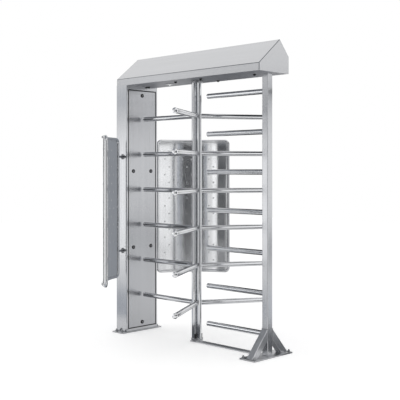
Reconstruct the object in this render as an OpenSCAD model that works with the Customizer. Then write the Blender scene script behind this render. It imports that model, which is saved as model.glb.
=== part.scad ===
// Full height turnstile: a three wing rotor turns between a box column and a comb of fixed bars,
// under a pitched head that holds the indexing and damping gear.
// Origin: rotor axis at floor level. +X towards the comb post, +Y out of the far side, +Z up.

/* [Passage] */
// Height of the head's underside above the floor
head_z = 2100; // [2050:5:2200]
// Length of the head, and of the whole object
frame_len = 1600; // [1590:2:1640]
// Vertical spacing of the fixed bars, and of the arms
bar_pitch = 300; // [290:1:304]
// Number of fixed bars in the comb
bar_count = 7; // [4:1:7]
// Height of the lowest fixed bar's axis
first_bar_z = 165; // [160:1:180]
// Outer diameter of the fixed bars and of the arms
bar_d = 40; // [34:1:44]
// Wall of the fixed bars and of the arms
bar_wall = 2.5; // [1.5:0.1:4]
// Distance from the rotor axis to the fixed bars' free ends
comb_reach = 117; // [100:1:140]

/* [Rotor] */
// Distance from the rotor axis to the tip of an arm's cap
wing_reach = 640; // [600:1:645]
// Outer diameter of each of the mast's three tubes
mast_tube_d = 38; // [34:0.5:40]
// Wall of the mast tubes
mast_tube_wall = 3; // [2:0.1:4]
// Distance from the rotor axis to each mast tube's axis
mast_tube_offset = 25; // [24.5:0.1:28]
// Diameter of the plates that close the mast
mast_plate_d = 96; // [94:1:104]
// Thickness of the plate on top of the mast
mast_head_plate_t = 10; // [6:0.5:14]
// Thickness of the plate under the mast
mast_foot_plate_t = 17; // [15:0.5:24]
// Diameter of the shaft that the mast hangs from
shaft_d = 50; // [44:1:56]
// Air between the mast's head plate and the soffit
mast_head_gap = 10; // [6:1:20]
// Diameter of the domed cap on each arm
cap_d = 42; // [42:0.5:48]
// Length of the cap's straight rim
cap_rim = 8; // [5:0.5:12]
// Height of the cap's dome
cap_dome = 7; // [4:0.5:10]
// Length of the groove between the arm and its cap
cap_groove = 3; // [1:0.5:5]

/* [Column] */
// Width of the box column along the head
column_w = 135; // [125:1:150]
// Depth of the box column through the passage
column_d = 348; // [342:1:380]
// Sheet thickness of the column
column_wall = 3; // [2:0.25:4]
// Width of the service panel
panel_w = 300; // [286:1:306]
// Gap from the floor to the service panel
panel_low_z = 42; // [36:1:50]
// Gap from the head to the service panel
panel_top_gap = 43; // [38:1:50]
// Sheet thickness of the service panel
panel_t = 3; // [2:0.25:4]
// Visible joint round the service panel
panel_joint = 3; // [2:0.25:4]
// Width of the ledge that the service panel closes on
ledge_w = 12; // [8:0.5:12]
// Length of the column's base plate through the passage
column_plate_d = 448; // [446:1:520]
// How far that plate shows past the column's passage face
column_plate_lip = 5; // [2:0.5:8]

/* [Post] */
// Side of the square post and of its struts
post_w = 55; // [50:1:60]
// Wall of the post and of its struts
post_wall = 4; // [2:0.25:6]
// Distance from the rotor axis to the post's centre
post_x = 733; // [728:1:738]
// Height where a strut's upper face meets the post
strut_top_z = 208; // [190:1:230]
// Angle of the struts above the floor
strut_angle = 48; // [45:0.5:52]
// Width of the post's base plate along the head
post_plate_w = 150; // [150:1:160]
// Length of the post's base plate through the passage
post_plate_d = 444; // [440:1:520]
// Distance from the rotor axis to that plate's centre
post_plate_x = 725; // [722:0.5:726]

/* [Floor] */
// Thickness of the base plates and of the floor bar
plate_t = 10; // [8:0.5:14]
// Width of the floor bar
floor_bar_w = 60; // [50:1:80]
// Distance that the floor bar runs past the rotor axis
floor_bar_tail = 50; // [46:1:80]
// Diameter of the anchor holes
anchor_hole_d = 14; // [10:0.5:16]
// Distance from a base plate's end to its anchor holes
anchor_inset = 25; // [18:1:26]
// Spacing of the column's anchor holes along the head
column_anchor_x = 70; // [60:1:90]
// Spacing of the post's anchor holes along the head
post_anchor_x = 108; // [104:1:116]
// Diameter of the cable entry in the column's base plate
cable_hole_d = 40; // [30:1:50]

/* [Guards] */
// Distance from the column's outer face to a guard's first upright
guard_seat_x = 82; // [78:1:96]
// Distance from the column's side to a guard's first upright
guard_gap = 52.4; // [50:0.2:60]
// Diameter of the guards' tube
guard_tube_d = 25; // [20:0.5:30]
// Radius of the bend in the guards' corners, to the middle of the tube
guard_bend_r = 35; // [32:1:50]
// Angle from the column side of the passage to a guard's last upright
guard_end_angle = 67; // [60:0.5:68]
// Lowest point of the guards
guard_low_z = 470; // [440:1:520]
// Height of the guards
guard_h = 1182; // [1120:1:1220]
// Sheet thickness of the guards
guard_sheet_t = 2; // [1.5:0.1:3]
// Height of the lower standoffs
standoff_low_z = 697; // [640:1:760]
// Height of the upper standoffs
standoff_high_z = 1494; // [1440:1:1560]
// Diameter of the standoffs
standoff_d = 18; // [14:0.5:22]
// Diameter of the standoffs' flanges
standoff_flange_d = 44; // [38:1:50]
// Thickness of the standoffs' flanges
standoff_flange_t = 5; // [3:0.5:8]

/* [Head] */
// Depth of the head through the passage
head_d = 342; // [338:1:342]
// Height of the head's front edge
fascia_h = 57; // [50:1:70]
// Height of the head's back wall
back_wall_h = 127; // [110:1:150]
// Height of the ridge above the head's underside
ridge_h = 250; // [235:1:270]
// Distance from the rotor axis to the ridge
ridge_y = 65; // [50:1:80]
// Sheet thickness of the head's cover
cover_t = 2; // [1.5:0.1:3]
// Sheet thickness of the soffit
soffit_t = 3; // [2:0.1:4]
// Side of the head's square rails
rail_w = 40; // [36:1:44]
// Wall of those rails
rail_wall = 3; // [2:0.25:4]
// Distance between the rails' middles
rail_spacing = 240; // [230:1:250]
// Thickness of the plate that carries the drive gear
drive_plate_t = 8; // [6:0.5:10]

/* [Indexing gear] */
// Outer diameter of the bearing
bearing_d = 80; // [76:1:90]
// Height of the bearing
bearing_h = 18; // [14:0.5:20]
// Outer diameter of the bearing's housing
housing_d = 120; // [112:1:124]
// Floor of the housing under the bearing
housing_floor = 4; // [3:0.5:6]
// Depth of the housing above that floor
housing_depth = 22; // [20:0.5:24]
// Diameter of the index wheel
index_d = 200; // [196:1:204]
// Thickness of the index wheel
index_t = 12; // [10:0.5:14]
// Width of a notch
notch_w = 18; // [17:0.25:18.5]
// Depth of a notch
notch_depth = 14; // [12.5:0.25:16]
// Diameter of the pawls' pins
pawl_pin_d = 12; // [10:0.5:14]
// Distance from a pawl's pin to the middle of its tooth
pawl_len = 80; // [78:0.5:84]
// Width of a pawl's lever
pawl_w = 20; // [18:0.5:20]
// Angle that a pawl swings to lock the wheel
pawl_swing = 12; // [11:0.25:12]

/* [Damper] */
// Diameter of the pulley on the rotor's shaft
drive_pulley_d = 120; // [110:1:124]
// Diameter of the damper's pulley
damper_pulley_d = 60; // [50:1:62]
// Distance from the rotor axis to the damper's axis
damper_x = 270; // [262:1:276]
// Diameter of the damper's body
damper_d = 80; // [70:1:84]
// Width of the belt
belt_w = 12; // [8:0.5:13]
// Thickness of the belt
belt_t = 2.5; // [1.5:0.1:3]

/* [Locks] */
// Diameter of a lock's rim on the service panel
lock_rim_d = 32; // [28:0.5:36]
// Thickness of that rim
lock_rim_t = 3; // [2:0.25:4]
// Diameter of a lock's body behind the rim
lock_body_d = 24; // [23:0.5:26]
// Diameter of a lock's turning plug
lock_plug_d = 18; // [14:0.5:19]
// Distance between the two locks of a pair
lock_spread = 198; // [190:1:204]
// Height of the lowest lock
lock_low_z = 75; // [70:1:80]
// Vertical spacing of the locks
lock_pitch = 648.5; // [640:0.5:650]
// Distance that a lock's cam reaches from its axis
cam_reach = 48; // [46:0.5:50]
// Width of a lock's cam
cam_w = 16; // [12:0.5:18]

/* [Hidden] */

// Smoothness of round pieces
$fn = 64;
// Extra length of a cut past the face that it opens
overrun = 1;
// Air between two pieces that only lie against each other
seat_gap = 0.3;
// Air between a turning shaft and its bore, all round
running_gap = 0.05;
// Air left between two tubes that are welded along a curve
weld_gap = 0.1;

// Column: its two faces along the head, its panel and its ledge
column_x0 = -frame_len / 2;
column_x1 = column_x0 + column_w;
panel_z1 = head_z - panel_top_gap;
ledge_t = 3;
ledge_x1 = column_x1 - panel_t - seat_gap;
ledge_x0 = ledge_x1 - ledge_t;
control_box_size = [70, 200, 300];
control_box_z = 1450;

// Locks: the cam lies behind the ledge, and the plug ends behind the cam
cam_t = 3;
cam_gap = 0.5;
cam_x1 = ledge_x0 - cam_gap;
lock_plug_proud = 0.5;
lock_hole_gap = 0.2;
lock_tail = 6;

// Post
post_left_x = post_x - post_w / 2;

// Rotor: the mast stands on the pivot and hangs from the shaft
arm_rows = bar_count - 1;
first_arm_z = first_bar_z + bar_pitch / 2;
pivot_flange_t = 6;
pivot_flange_d = 88;
pivot_pin_d = 30;
pivot_pin_h = 11;
pivot_end_gap = 1;
pivot_air = 0.5;
mast_foot_z = plate_t + pivot_flange_t + pivot_air;
mast_tube_z0 = mast_foot_z + mast_foot_plate_t;
mast_tube_z1 = head_z - mast_head_gap - mast_head_plate_t;
arm_root = mast_tube_offset / 2 + mast_tube_d / 4;
arm_end = wing_reach - cap_dome - cap_rim - cap_groove;
cap_spigot_len = 15;
cap_neck_inset = 1;
wing_count = 3;
wing_angles = [for (k = [0 : wing_count - 1]) 180 + k * 360 / wing_count];

// Head: the cover's slopes, the rails and the drive plate
front_pitch = (ridge_h - fascia_h) / (ridge_y + head_d / 2);
back_pitch = (ridge_h - back_wall_h) / (head_d / 2 - ridge_y);
cover_fit = 0.5;
soffit_z1 = head_z + soffit_t;
rail_z1 = soffit_z1 + rail_w;
drive_plate_z1 = rail_z1 + drive_plate_t;
drive_plate_d = rail_spacing + rail_w;
shaft_hole_air = 10;
shaft_hole_d = shaft_d + 2 * shaft_hole_air;
cross_w = 75;
soffit_screw_d = 14;
soffit_screw_h = 3;
soffit_screw_shank_d = 8;
downlight_d = 60;
downlight_rim_t = 3;
downlight_h = 28;
downlight_rim_w = 6;
downlight_share = [0.2255, 0.2];
soffit_screw_shares = [[0.012, 0.36], [0.348, -0.34], [0.571, -0.456], [0.574, 0.69], [0.929, 0]];

// Indexing gear: everything stands on the drive plate
bearing_z0 = drive_plate_z1 + housing_floor;
bearing_z1 = bearing_z0 + bearing_h;
hub_z0 = bearing_z1 + seat_gap;
hub_d = 70;
hub_h = 11;
index_z0 = hub_z0 + hub_h;
index_z1 = index_z0 + index_t;
notch_count = 4 * wing_count;
pawl_stand_off = 14;
pawl_pin_x = index_d / 2 + pawl_stand_off;
pawl_shoulder_d = 18;
pawl_pin_end = 3;
tooth_w = 12.5;
tooth_air = 3;
tooth_tip_x = index_d / 2 - notch_depth + tooth_air;
solenoid_w = 30;
solenoid_len = 50;
solenoid_stand_off = 38;
solenoid_x = pawl_pin_x + solenoid_stand_off;
solenoid_y = pawl_len / 4;
solenoid_end = 6;
plunger_d = 10;
plunger_gap = 0.4;
plunger_tail = 5;
plunger_tip_x = pawl_pin_x + pawl_w / 2 / cos(pawl_swing)
  + (pawl_len - solenoid_y + plunger_d / 2) * tan(pawl_swing) + plunger_gap;
gear_z = index_z0 + index_t / 2;

// Damper: a pulley on the shaft drives a smaller one through a flat belt
pulley_rim = 4;
pulley_flange_t = 2;
pulley_h = belt_w + 2 * pulley_flange_t + 2 * seat_gap;
pulley_air = 5;
pulley_z0 = gear_z + solenoid_w / 2 + pulley_air;
shaft_proud = 5;
shaft_top_z = pulley_z0 + pulley_h + shaft_proud;
damper_shaft_d = 14;
damper_flange_t = 4;
damper_flange_rim = 10;
damper_flange_d = damper_d + 2 * damper_flange_rim;
drive_plate_margin = 10;
drive_plate_x0 = -solenoid_x - solenoid_len - drive_plate_margin;
drive_plate_x1 = damper_x + damper_flange_d / 2 + drive_plate_margin;

// Outside of a square tube of side w and length h, with its bore, standing on z = 0
module square_tube(w, wall, h) {
  difference() {
    translate([-w / 2, -w / 2, 0]) cube([w, w, h]);
    translate([-w / 2 + wall, -w / 2 + wall, -overrun]) cube([w - 2 * wall, w - 2 * wall, h + 2 * overrun]);
  }
}

// Four holes of diameter d at the corners of a rectangle, through a plate of thickness t on z = 0
module hole_rectangle(at_x, span_x, span_y, d, t) {
  for (sx = [-1, 1], sy = [-1, 1])
    translate([at_x + sx * span_x / 2, sy * span_y / 2, -overrun]) cylinder(d = d, h = t + 2 * overrun);
}

// Column
module column_shell() {
  opening_w = panel_w + 2 * panel_joint;
  opening_z0 = panel_low_z - panel_joint;
  opening_h = panel_z1 - panel_low_z + 2 * panel_joint;
  color([0.68, 0.68, 0.69]) {
    difference() {
      translate([column_x0, -column_d / 2, plate_t]) cube([column_w, column_d, head_z - plate_t]);
      translate([column_x0 + column_wall, -column_d / 2 + column_wall, plate_t - overrun])
        cube([column_w - 2 * column_wall, column_d - 2 * column_wall, head_z - plate_t + 2 * overrun]);
      translate([column_x1 - column_wall - overrun, -opening_w / 2, opening_z0])
        cube([column_wall + 2 * overrun, opening_w, opening_h]);
    }
    difference() {
      translate([ledge_x0, -column_d / 2 + column_wall, plate_t])
        cube([ledge_t, column_d - 2 * column_wall, head_z - plate_t]);
      translate([ledge_x0 - overrun, -opening_w / 2 + ledge_w, opening_z0 + ledge_w])
        cube([ledge_t + 2 * overrun, opening_w - 2 * ledge_w, opening_h - 2 * ledge_w]);
    }
    for (side = [-1, 1])
      translate([ledge_x1, side * (opening_w + column_d) / 4 - ledge_w / 4, plate_t])
        cube([column_x1 - column_wall - ledge_x1, ledge_w / 2, head_z - plate_t]);
  }
}

module column_base_plate() {
  color([0.7, 0.7, 0.71])
    difference() {
      translate([column_x0, -column_plate_d / 2, 0])
        cube([column_w + column_plate_lip, column_plate_d, plate_t]);
      hole_rectangle(column_x0 + column_w / 2, column_anchor_x, column_plate_d - 2 * anchor_inset,
        anchor_hole_d, plate_t);
      translate([column_x0 + column_w / 2, 0, -overrun]) cylinder(d = cable_hole_d, h = plate_t + 2 * overrun);
    }
}

// Height of the lock in row k, counted from the floor
function lock_z(k) = lock_low_z + k * lock_pitch;

// Places its children at each lock, with +Z turned out of the service panel
module at_lock(y, k) {
  translate([column_x1, y, lock_z(k)]) rotate([0, 90, 0]) children();
}

module at_every_lock() {
  for (k = [0, 3]) at_lock(0, k) children();
  for (k = [1, 2], side = [-1, 1]) at_lock(side * lock_spread / 2, k) children();
}

module service_panel() {
  color([0.7, 0.7, 0.71])
    difference() {
      translate([column_x1 - panel_t, -panel_w / 2, panel_low_z])
        cube([panel_t, panel_w, panel_z1 - panel_low_z]);
      at_every_lock() translate([0, 0, -panel_t - overrun])
        cylinder(d = lock_body_d + 2 * lock_hole_gap, h = panel_t + 2 * overrun);
    }
}

module lock_housings() {
  depth = column_x1 - cam_x1 - seat_gap;
  color([0.13, 0.13, 0.13])
    at_every_lock()
      difference() {
        union() {
          cylinder(d = lock_rim_d, h = lock_rim_t);
          translate([0, 0, -depth]) cylinder(d = lock_body_d, h = depth + lock_rim_t);
        }
        translate([0, 0, -depth - overrun])
          cylinder(d = lock_plug_d + 2 * running_gap, h = depth + lock_rim_t + 2 * overrun);
      }
}

// Plug and cam of the lock at y in row k; the cam points along angle, from +Y towards +Z
module lock_plug(y, k, angle) {
  tail = column_x1 - cam_x1 + cam_t + lock_tail;
  color([0.1, 0.1, 0.1]) {
    at_lock(y, k) translate([0, 0, -tail]) cylinder(d = lock_plug_d, h = tail + lock_rim_t + lock_plug_proud);
    translate([cam_x1 - cam_t, y, lock_z(k)]) rotate([angle, 0, 0])
      translate([0, -cam_w / 2, -cam_w / 2]) cube([cam_t, cam_reach + cam_w / 2, cam_w]);
  }
}

module lock_top() { lock_plug(0, 3, 0); }
module lock_upper_front() { lock_plug(-lock_spread / 2, 2, -90); }
module lock_upper_back() { lock_plug(lock_spread / 2, 2, -90); }
module lock_lower_front() { lock_plug(-lock_spread / 2, 1, -90); }
module lock_lower_back() { lock_plug(lock_spread / 2, 1, -90); }
module lock_bottom() { lock_plug(0, 0, 0); }

module control_box() {
  color([0.35, 0.36, 0.38])
    translate([column_x0 + column_wall, -control_box_size[1] / 2, control_box_z]) cube(control_box_size);
}

// Post, struts and floor bar
module post_tube() {
  color([0.7, 0.7, 0.71]) translate([post_x, 0, plate_t]) square_tube(post_w, post_wall, head_z - plate_t);
}

module post_base_plate() {
  color([0.66, 0.66, 0.67])
    difference() {
      translate([post_plate_x - post_plate_w / 2, -post_plate_d / 2, 0])
        cube([post_plate_w, post_plate_d, plate_t]);
      hole_rectangle(post_plate_x, post_anchor_x, post_plate_d - 2 * anchor_inset, anchor_hole_d, plate_t);
    }
}

// Strut on the side given by side, cut flush with the post and with the base plate
module strut(side) {
  run = (strut_top_z - plate_t) / tan(strut_angle);
  slant = post_w / 2 / cos(strut_angle);
  color([0.66, 0.66, 0.67])
    intersection() {
      translate([post_x, side * post_w / 2, strut_top_z - slant])
        rotate([-side * (90 + strut_angle), 0, 0])
          translate([0, 0, -strut_top_z]) square_tube(post_w, post_wall, 3 * strut_top_z);
      translate([post_left_x - overrun, side > 0 ? post_w / 2 : -post_w / 2 - 2 * run, plate_t])
        cube([post_w + 2 * overrun, 2 * run, strut_top_z]);
    }
}

module strut_front() { strut(-1); }
module strut_back() { strut(1); }

module floor_bar() {
  color([0.66, 0.66, 0.67])
    translate([-floor_bar_tail, -floor_bar_w / 2, 0])
      cube([post_plate_x - post_plate_w / 2 + floor_bar_tail, floor_bar_w, plate_t]);
}

// Bar number k of the comb, counted from the floor: a tube with a domed free end
module comb_bar(k) {
  color([0.75, 0.75, 0.76])
    translate([comb_reach, 0, first_bar_z + (k - 1) * bar_pitch]) rotate([0, 90, 0])
      difference() {
        union() {
          translate([0, 0, cap_dome]) cylinder(d = bar_d, h = post_left_x - comb_reach - cap_dome);
          dome(bar_d, cap_dome);
        }
        translate([0, 0, cap_dome + bar_wall])
          cylinder(d = bar_d - 2 * bar_wall, h = post_left_x - comb_reach + overrun);
      }
}

// Spherical cap of diameter d and height h, standing on its top at z = 0 and widening upwards
module dome(d, h) {
  r = (d * d / 4 + h * h) / (2 * h);
  intersection() {
    translate([0, 0, r]) sphere(r = r, $fn = 96);
    cylinder(d = d, h = h);
  }
}

module comb_bar_1() { comb_bar(1); }
module comb_bar_2() { comb_bar(2); }
module comb_bar_3() { comb_bar(3); }
module comb_bar_4() { comb_bar(4); }
module comb_bar_5() { comb_bar(5); }
module comb_bar_6() { comb_bar(6); }
module comb_bar_7() { comb_bar(7); }

// Curved guards: the first upright stands beside the column, and the arc turns about the rotor axis.
// The bends lie flat in the plane that touches the arc at its end.
guard_upright_x = column_x0 + guard_seat_x;
guard_upright_y = column_d / 2 + guard_gap;
guard_upright_r = norm([guard_upright_x, guard_upright_y]);
guard_r = sqrt(pow(guard_upright_r, 2) - pow(guard_bend_r, 2));
guard_bend_angle = atan(guard_bend_r / guard_r);
guard_arc_start = atan(-guard_upright_y / guard_upright_x) + guard_bend_angle;
guard_arc_end = guard_end_angle - guard_bend_angle;
guard_rail_low = guard_low_z + guard_tube_d / 2;
guard_rail_high = guard_low_z + guard_h - guard_tube_d / 2;
seam_proud = 0.2;
seam_w = 4;
seam_root = 0.5;

// Places its children at angle a on the guards' circle, with +X outwards and +Y onwards along the arc
module at_guard(a) {
  rotate([0, 0, a]) translate([guard_r, 0, 0]) children();
}

// Bend at angle a, at height z; onwards is 1 or -1 along the arc, up is 1 or -1
module guard_bend(a, z, onwards, up) {
  turn = onwards > 0 ? (up > 0 ? 0 : 270) : (up > 0 ? 90 : 180);
  at_guard(a) translate([0, 0, z + up * -guard_bend_r]) rotate([90, 0, 90]) rotate([0, 0, turn])
    rotate_extrude(angle = 90) translate([guard_bend_r, 0]) circle(d = guard_tube_d, $fn = 32);
}

// Weld ring round the butt joint of two tubes that meet at the origin, along Z
module guard_seam() {
  cylinder(d = guard_tube_d + 2 * seam_proud, h = seam_w, center = true, $fn = 32);
}

// Guard on the -X side of the rotor: angles run from the -X axis towards side * Y
module guard_frame(side) {
  upright_h = guard_rail_high - guard_rail_low - 2 * guard_bend_r;
  root_angle = atan(seam_root / guard_r);
  color([0.72, 0.72, 0.73])
    mirror([1, 0, 0]) mirror([0, side < 0 ? 1 : 0, 0]) {
      for (z = [guard_rail_low, guard_rail_high])
        translate([0, 0, z]) {
          rotate([0, 0, guard_arc_start + root_angle])
            rotate_extrude(angle = guard_arc_end - guard_arc_start - 2 * root_angle, $fn = 180)
              translate([guard_r, 0]) circle(d = guard_tube_d, $fn = 32);
          for (a = [guard_arc_start, guard_arc_end]) at_guard(a) rotate([90, 0, 0]) guard_seam();
        }
      for (a = [[guard_arc_start, -1], [guard_arc_end, 1]]) {
        guard_bend(a[0], guard_rail_high, a[1], 1);
        guard_bend(a[0], guard_rail_low, a[1], -1);
        at_guard(a[0]) translate([0, a[1] * guard_bend_r, guard_rail_low + guard_bend_r]) {
          translate([0, 0, seam_root]) cylinder(d = guard_tube_d, h = upright_h - 2 * seam_root, $fn = 32);
          for (z = [0, upright_h]) translate([0, 0, z]) guard_seam();
        }
      }
    }
}

// What is cut off a sheet's corner so that it fits into a bend's inner curve: three flats, with tips at radius tip
module guard_corner(a, z, onwards, up, tip) {
  facet = 15;
  lead = (tip - guard_bend_r) / tan(facet);
  at_guard(a) translate([-guard_tube_d / 2, 0, z]) rotate([90, 0, 90])
    linear_extrude(height = guard_tube_d)
      polygon([
        [onwards * lead, up * guard_bend_r],
        [onwards * tip * cos(4 * facet), up * tip * sin(4 * facet)],
        [onwards * tip * cos(2 * facet), up * tip * sin(2 * facet)],
        [onwards * guard_bend_r, up * lead],
        [onwards * guard_bend_r, up * guard_bend_r]]);
}

module guard_sheet(side) {
  rail_inset = guard_tube_d / 2 + seat_gap;
  corner_r = guard_bend_r - rail_inset;
  side_angle = atan(corner_r / guard_r);
  color([0.74, 0.74, 0.75])
    mirror([1, 0, 0]) mirror([0, side < 0 ? 1 : 0, 0])
      difference() {
        rotate([0, 0, guard_arc_start - side_angle])
          rotate_extrude(angle = guard_arc_end - guard_arc_start + 2 * side_angle, $fn = 180)
            translate([guard_r - guard_sheet_t / 2, guard_rail_low + rail_inset])
              square([guard_sheet_t, guard_rail_high - guard_rail_low - 2 * rail_inset]);
        for (end = [[guard_arc_start, -1], [guard_arc_end, 1]]) {
          guard_corner(end[0], guard_rail_high - guard_bend_r, end[1], 1, corner_r - weld_gap);
          guard_corner(end[0], guard_rail_low + guard_bend_r, end[1], -1, corner_r - weld_gap);
        }
      }
}

module guard_front_frame() { guard_frame(-1); }
module guard_front_sheet() { guard_sheet(-1); }
module guard_back_frame() { guard_frame(1); }
module guard_back_sheet() { guard_sheet(1); }

module guard_standoffs() {
  color([0.7, 0.7, 0.71])
    for (side = [-1, 1], z = [standoff_low_z, standoff_high_z])
      difference() {
        translate([guard_upright_x, side * column_d / 2, z]) rotate([-side * 90, 0, 0]) {
          cylinder(d = standoff_flange_d, h = standoff_flange_t);
          cylinder(d = standoff_d, h = guard_gap);
        }
        translate([guard_upright_x, side * guard_upright_y, z - standoff_d])
          cylinder(d = guard_tube_d + 2 * weld_gap, h = 2 * standoff_d);
      }
}

// Head: outline of the cover from the front, moved in by inset
function slope_drop(pitch, inset) = inset * norm([1, pitch]);
function inner_ridge_y(inset) = (back_wall_h + back_pitch * head_d / 2 - slope_drop(back_pitch, inset)
  - fascia_h - front_pitch * head_d / 2 + slope_drop(front_pitch, inset)) / (front_pitch + back_pitch);
function cover_outline(inset) = [
  [-head_d / 2 + inset, 0],
  [head_d / 2 - inset, 0],
  [head_d / 2 - inset, back_wall_h + back_pitch * inset - slope_drop(back_pitch, inset)],
  [inner_ridge_y(inset), fascia_h + front_pitch * (inner_ridge_y(inset) + head_d / 2)
    - slope_drop(front_pitch, inset)],
  [-head_d / 2 + inset, fascia_h + front_pitch * inset - slope_drop(front_pitch, inset)]];

module cover_solid(inset, low) {
  translate([-frame_len / 2 + inset, 0, head_z]) rotate([90, 0, 90])
    linear_extrude(height = frame_len - 2 * inset) {
      polygon(cover_outline(inset));
      if (low > 0) translate([-head_d / 2 + inset, -low]) square([head_d - 2 * inset, 2 * low]);
    }
}

module roof_cover() {
  color([0.76, 0.76, 0.77])
    difference() {
      cover_solid(0, 0);
      cover_solid(cover_t, overrun);
    }
}

// Places its children on the head's underside, at shares of the way from the column to the post and of the half depth
module at_head(share) {
  translate([column_x1 + share[0] * (post_left_x - column_x1), share[1] * head_d / 2, head_z]) children();
}

module soffit_panel() {
  inset = cover_t + cover_fit;
  color([0.4, 0.41, 0.44])
    difference() {
      translate([-frame_len / 2 + inset, -head_d / 2 + inset, head_z])
        cube([frame_len - 2 * inset, head_d - 2 * inset, soffit_t]);
      translate([0, 0, head_z - overrun]) cylinder(d = shaft_hole_d, h = soffit_t + 2 * overrun);
      at_head(downlight_share) translate([0, 0, -overrun])
        cylinder(d = downlight_d + 2 * seat_gap, h = soffit_t + 2 * overrun);
      for (share = soffit_screw_shares)
        at_head(share) translate([0, 0, -overrun])
          cylinder(d = soffit_screw_shank_d + 2 * seat_gap, h = soffit_t + 2 * overrun);
    }
}

module soffit_screws() {
  color([0.12, 0.12, 0.12])
    for (share = soffit_screw_shares)
      at_head(share) {
        translate([0, 0, -soffit_screw_h]) cylinder(d = soffit_screw_d, h = soffit_screw_h);
        cylinder(d = soffit_screw_shank_d, h = soffit_t);
      }
}

module downlight() {
  color([0.95, 0.95, 0.9])
    at_head(downlight_share) {
      translate([0, 0, -downlight_rim_t]) cylinder(d = downlight_d + 2 * downlight_rim_w, h = downlight_rim_t);
      cylinder(d = downlight_d, h = downlight_h);
    }
}

module head_rails() {
  inset = cover_t + cover_fit;
  color([0.5, 0.5, 0.5])
    for (side = [-1, 1])
      translate([-frame_len / 2 + inset, side * rail_spacing / 2, soffit_z1 + rail_w / 2])
        rotate([0, 90, 0]) square_tube(rail_w, rail_wall, frame_len - 2 * inset);
}

module head_cross_members() {
  span = rail_spacing - rail_w;
  color([0.5, 0.5, 0.5])
    for (x = [column_x0 + column_w / 2, post_x])
      translate([x - cross_w / 2, -span / 2, soffit_z1])
        difference() {
          cube([cross_w, span, rail_w]);
          translate([rail_wall, -overrun, rail_wall])
            cube([cross_w - 2 * rail_wall, span + 2 * overrun, rail_w - 2 * rail_wall]);
        }
}

// Drive gear
module drive_plate() {
  color([0.55, 0.56, 0.58])
    difference() {
      translate([drive_plate_x0, -drive_plate_d / 2, rail_z1])
        cube([drive_plate_x1 - drive_plate_x0, drive_plate_d, drive_plate_t]);
      translate([0, 0, rail_z1 - overrun]) cylinder(d = shaft_hole_d, h = drive_plate_t + 2 * overrun);
    }
}

module bearing_housing() {
  color([0.5, 0.5, 0.52])
    translate([0, 0, drive_plate_z1])
      difference() {
        cylinder(d = housing_d, h = housing_depth);
        translate([0, 0, housing_floor]) cylinder(d = bearing_d, h = housing_depth);
        translate([0, 0, -overrun]) cylinder(d = shaft_hole_d, h = housing_depth);
      }
}

module top_bearing() {
  color([0.6, 0.6, 0.62])
    translate([0, 0, bearing_z0])
      difference() {
        cylinder(d = bearing_d - 2 * running_gap, h = bearing_h);
        translate([0, 0, -overrun]) cylinder(d = shaft_d + 2 * running_gap, h = bearing_h + 2 * overrun);
      }
}

module floor_pivot() {
  color([0.6, 0.6, 0.6])
    translate([0, 0, plate_t]) {
      cylinder(d = pivot_flange_d, h = pivot_flange_t);
      cylinder(d = pivot_pin_d, h = pivot_flange_t + pivot_pin_h);
    }
}

// Rotor
module at_mast_tubes() {
  for (a = [for (w = wing_angles) w + 180])
    rotate([0, 0, a]) translate([mast_tube_offset, 0, 0]) children();
}

module mast_tubes() {
  color([0.78, 0.78, 0.79])
    at_mast_tubes() translate([0, 0, mast_tube_z0])
      difference() {
        cylinder(d = mast_tube_d, h = mast_tube_z1 - mast_tube_z0);
        translate([0, 0, -overrun])
          cylinder(d = mast_tube_d - 2 * mast_tube_wall, h = mast_tube_z1 - mast_tube_z0 + 2 * overrun);
      }
}

module mast_foot_plate() {
  color([0.6, 0.6, 0.62])
    translate([0, 0, mast_foot_z])
      difference() {
        cylinder(d = mast_plate_d, h = mast_foot_plate_t);
        translate([0, 0, -overrun])
          cylinder(d = pivot_pin_d + 2 * running_gap, h = pivot_pin_h - pivot_air + pivot_end_gap + overrun);
      }
}

module mast_head_plate() {
  color([0.6, 0.6, 0.62]) translate([0, 0, mast_tube_z1]) cylinder(d = mast_plate_d, h = mast_head_plate_t);
}

module rotor_shaft() {
  z0 = mast_tube_z1 + mast_head_plate_t;
  color([0.55, 0.55, 0.57]) translate([0, 0, z0]) cylinder(d = shaft_d, h = shaft_top_z - z0);
}

// Arms of the wing at angle a, each coped over the two mast tubes that it is welded to
module wing_arms(a) {
  color([0.76, 0.76, 0.77])
    difference() {
      for (k = [0 : arm_rows - 1])
        rotate([0, 0, a]) translate([arm_root, 0, first_arm_z + k * bar_pitch]) rotate([0, 90, 0])
          difference() {
            cylinder(d = bar_d, h = arm_end - arm_root);
            translate([0, 0, mast_tube_d / 2]) cylinder(d = bar_d - 2 * bar_wall, h = arm_end);
          }
      at_mast_tubes() cylinder(d = mast_tube_d + 2 * weld_gap, h = head_z);
    }
}

module wing_left_arms() { wing_arms(wing_angles[0]); }
module wing_front_arms() { wing_arms(wing_angles[1]); }
module wing_back_arms() { wing_arms(wing_angles[2]); }

module arm_caps() {
  color([0.85, 0.85, 0.86])
    for (a = wing_angles, k = [0 : arm_rows - 1])
      rotate([0, 0, a]) translate([arm_end, 0, first_arm_z + k * bar_pitch]) rotate([0, 90, 0]) {
        translate([0, 0, -cap_spigot_len])
          cylinder(d = bar_d - 2 * bar_wall - 2 * weld_gap, h = cap_spigot_len + cap_groove);
        cylinder(d = bar_d - 2 * cap_neck_inset, h = cap_groove);
        translate([0, 0, cap_groove]) cylinder(d = cap_d, h = cap_rim);
        translate([0, 0, wing_reach - arm_end]) mirror([0, 0, 1]) dome(cap_d, cap_dome);
      }
}

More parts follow.
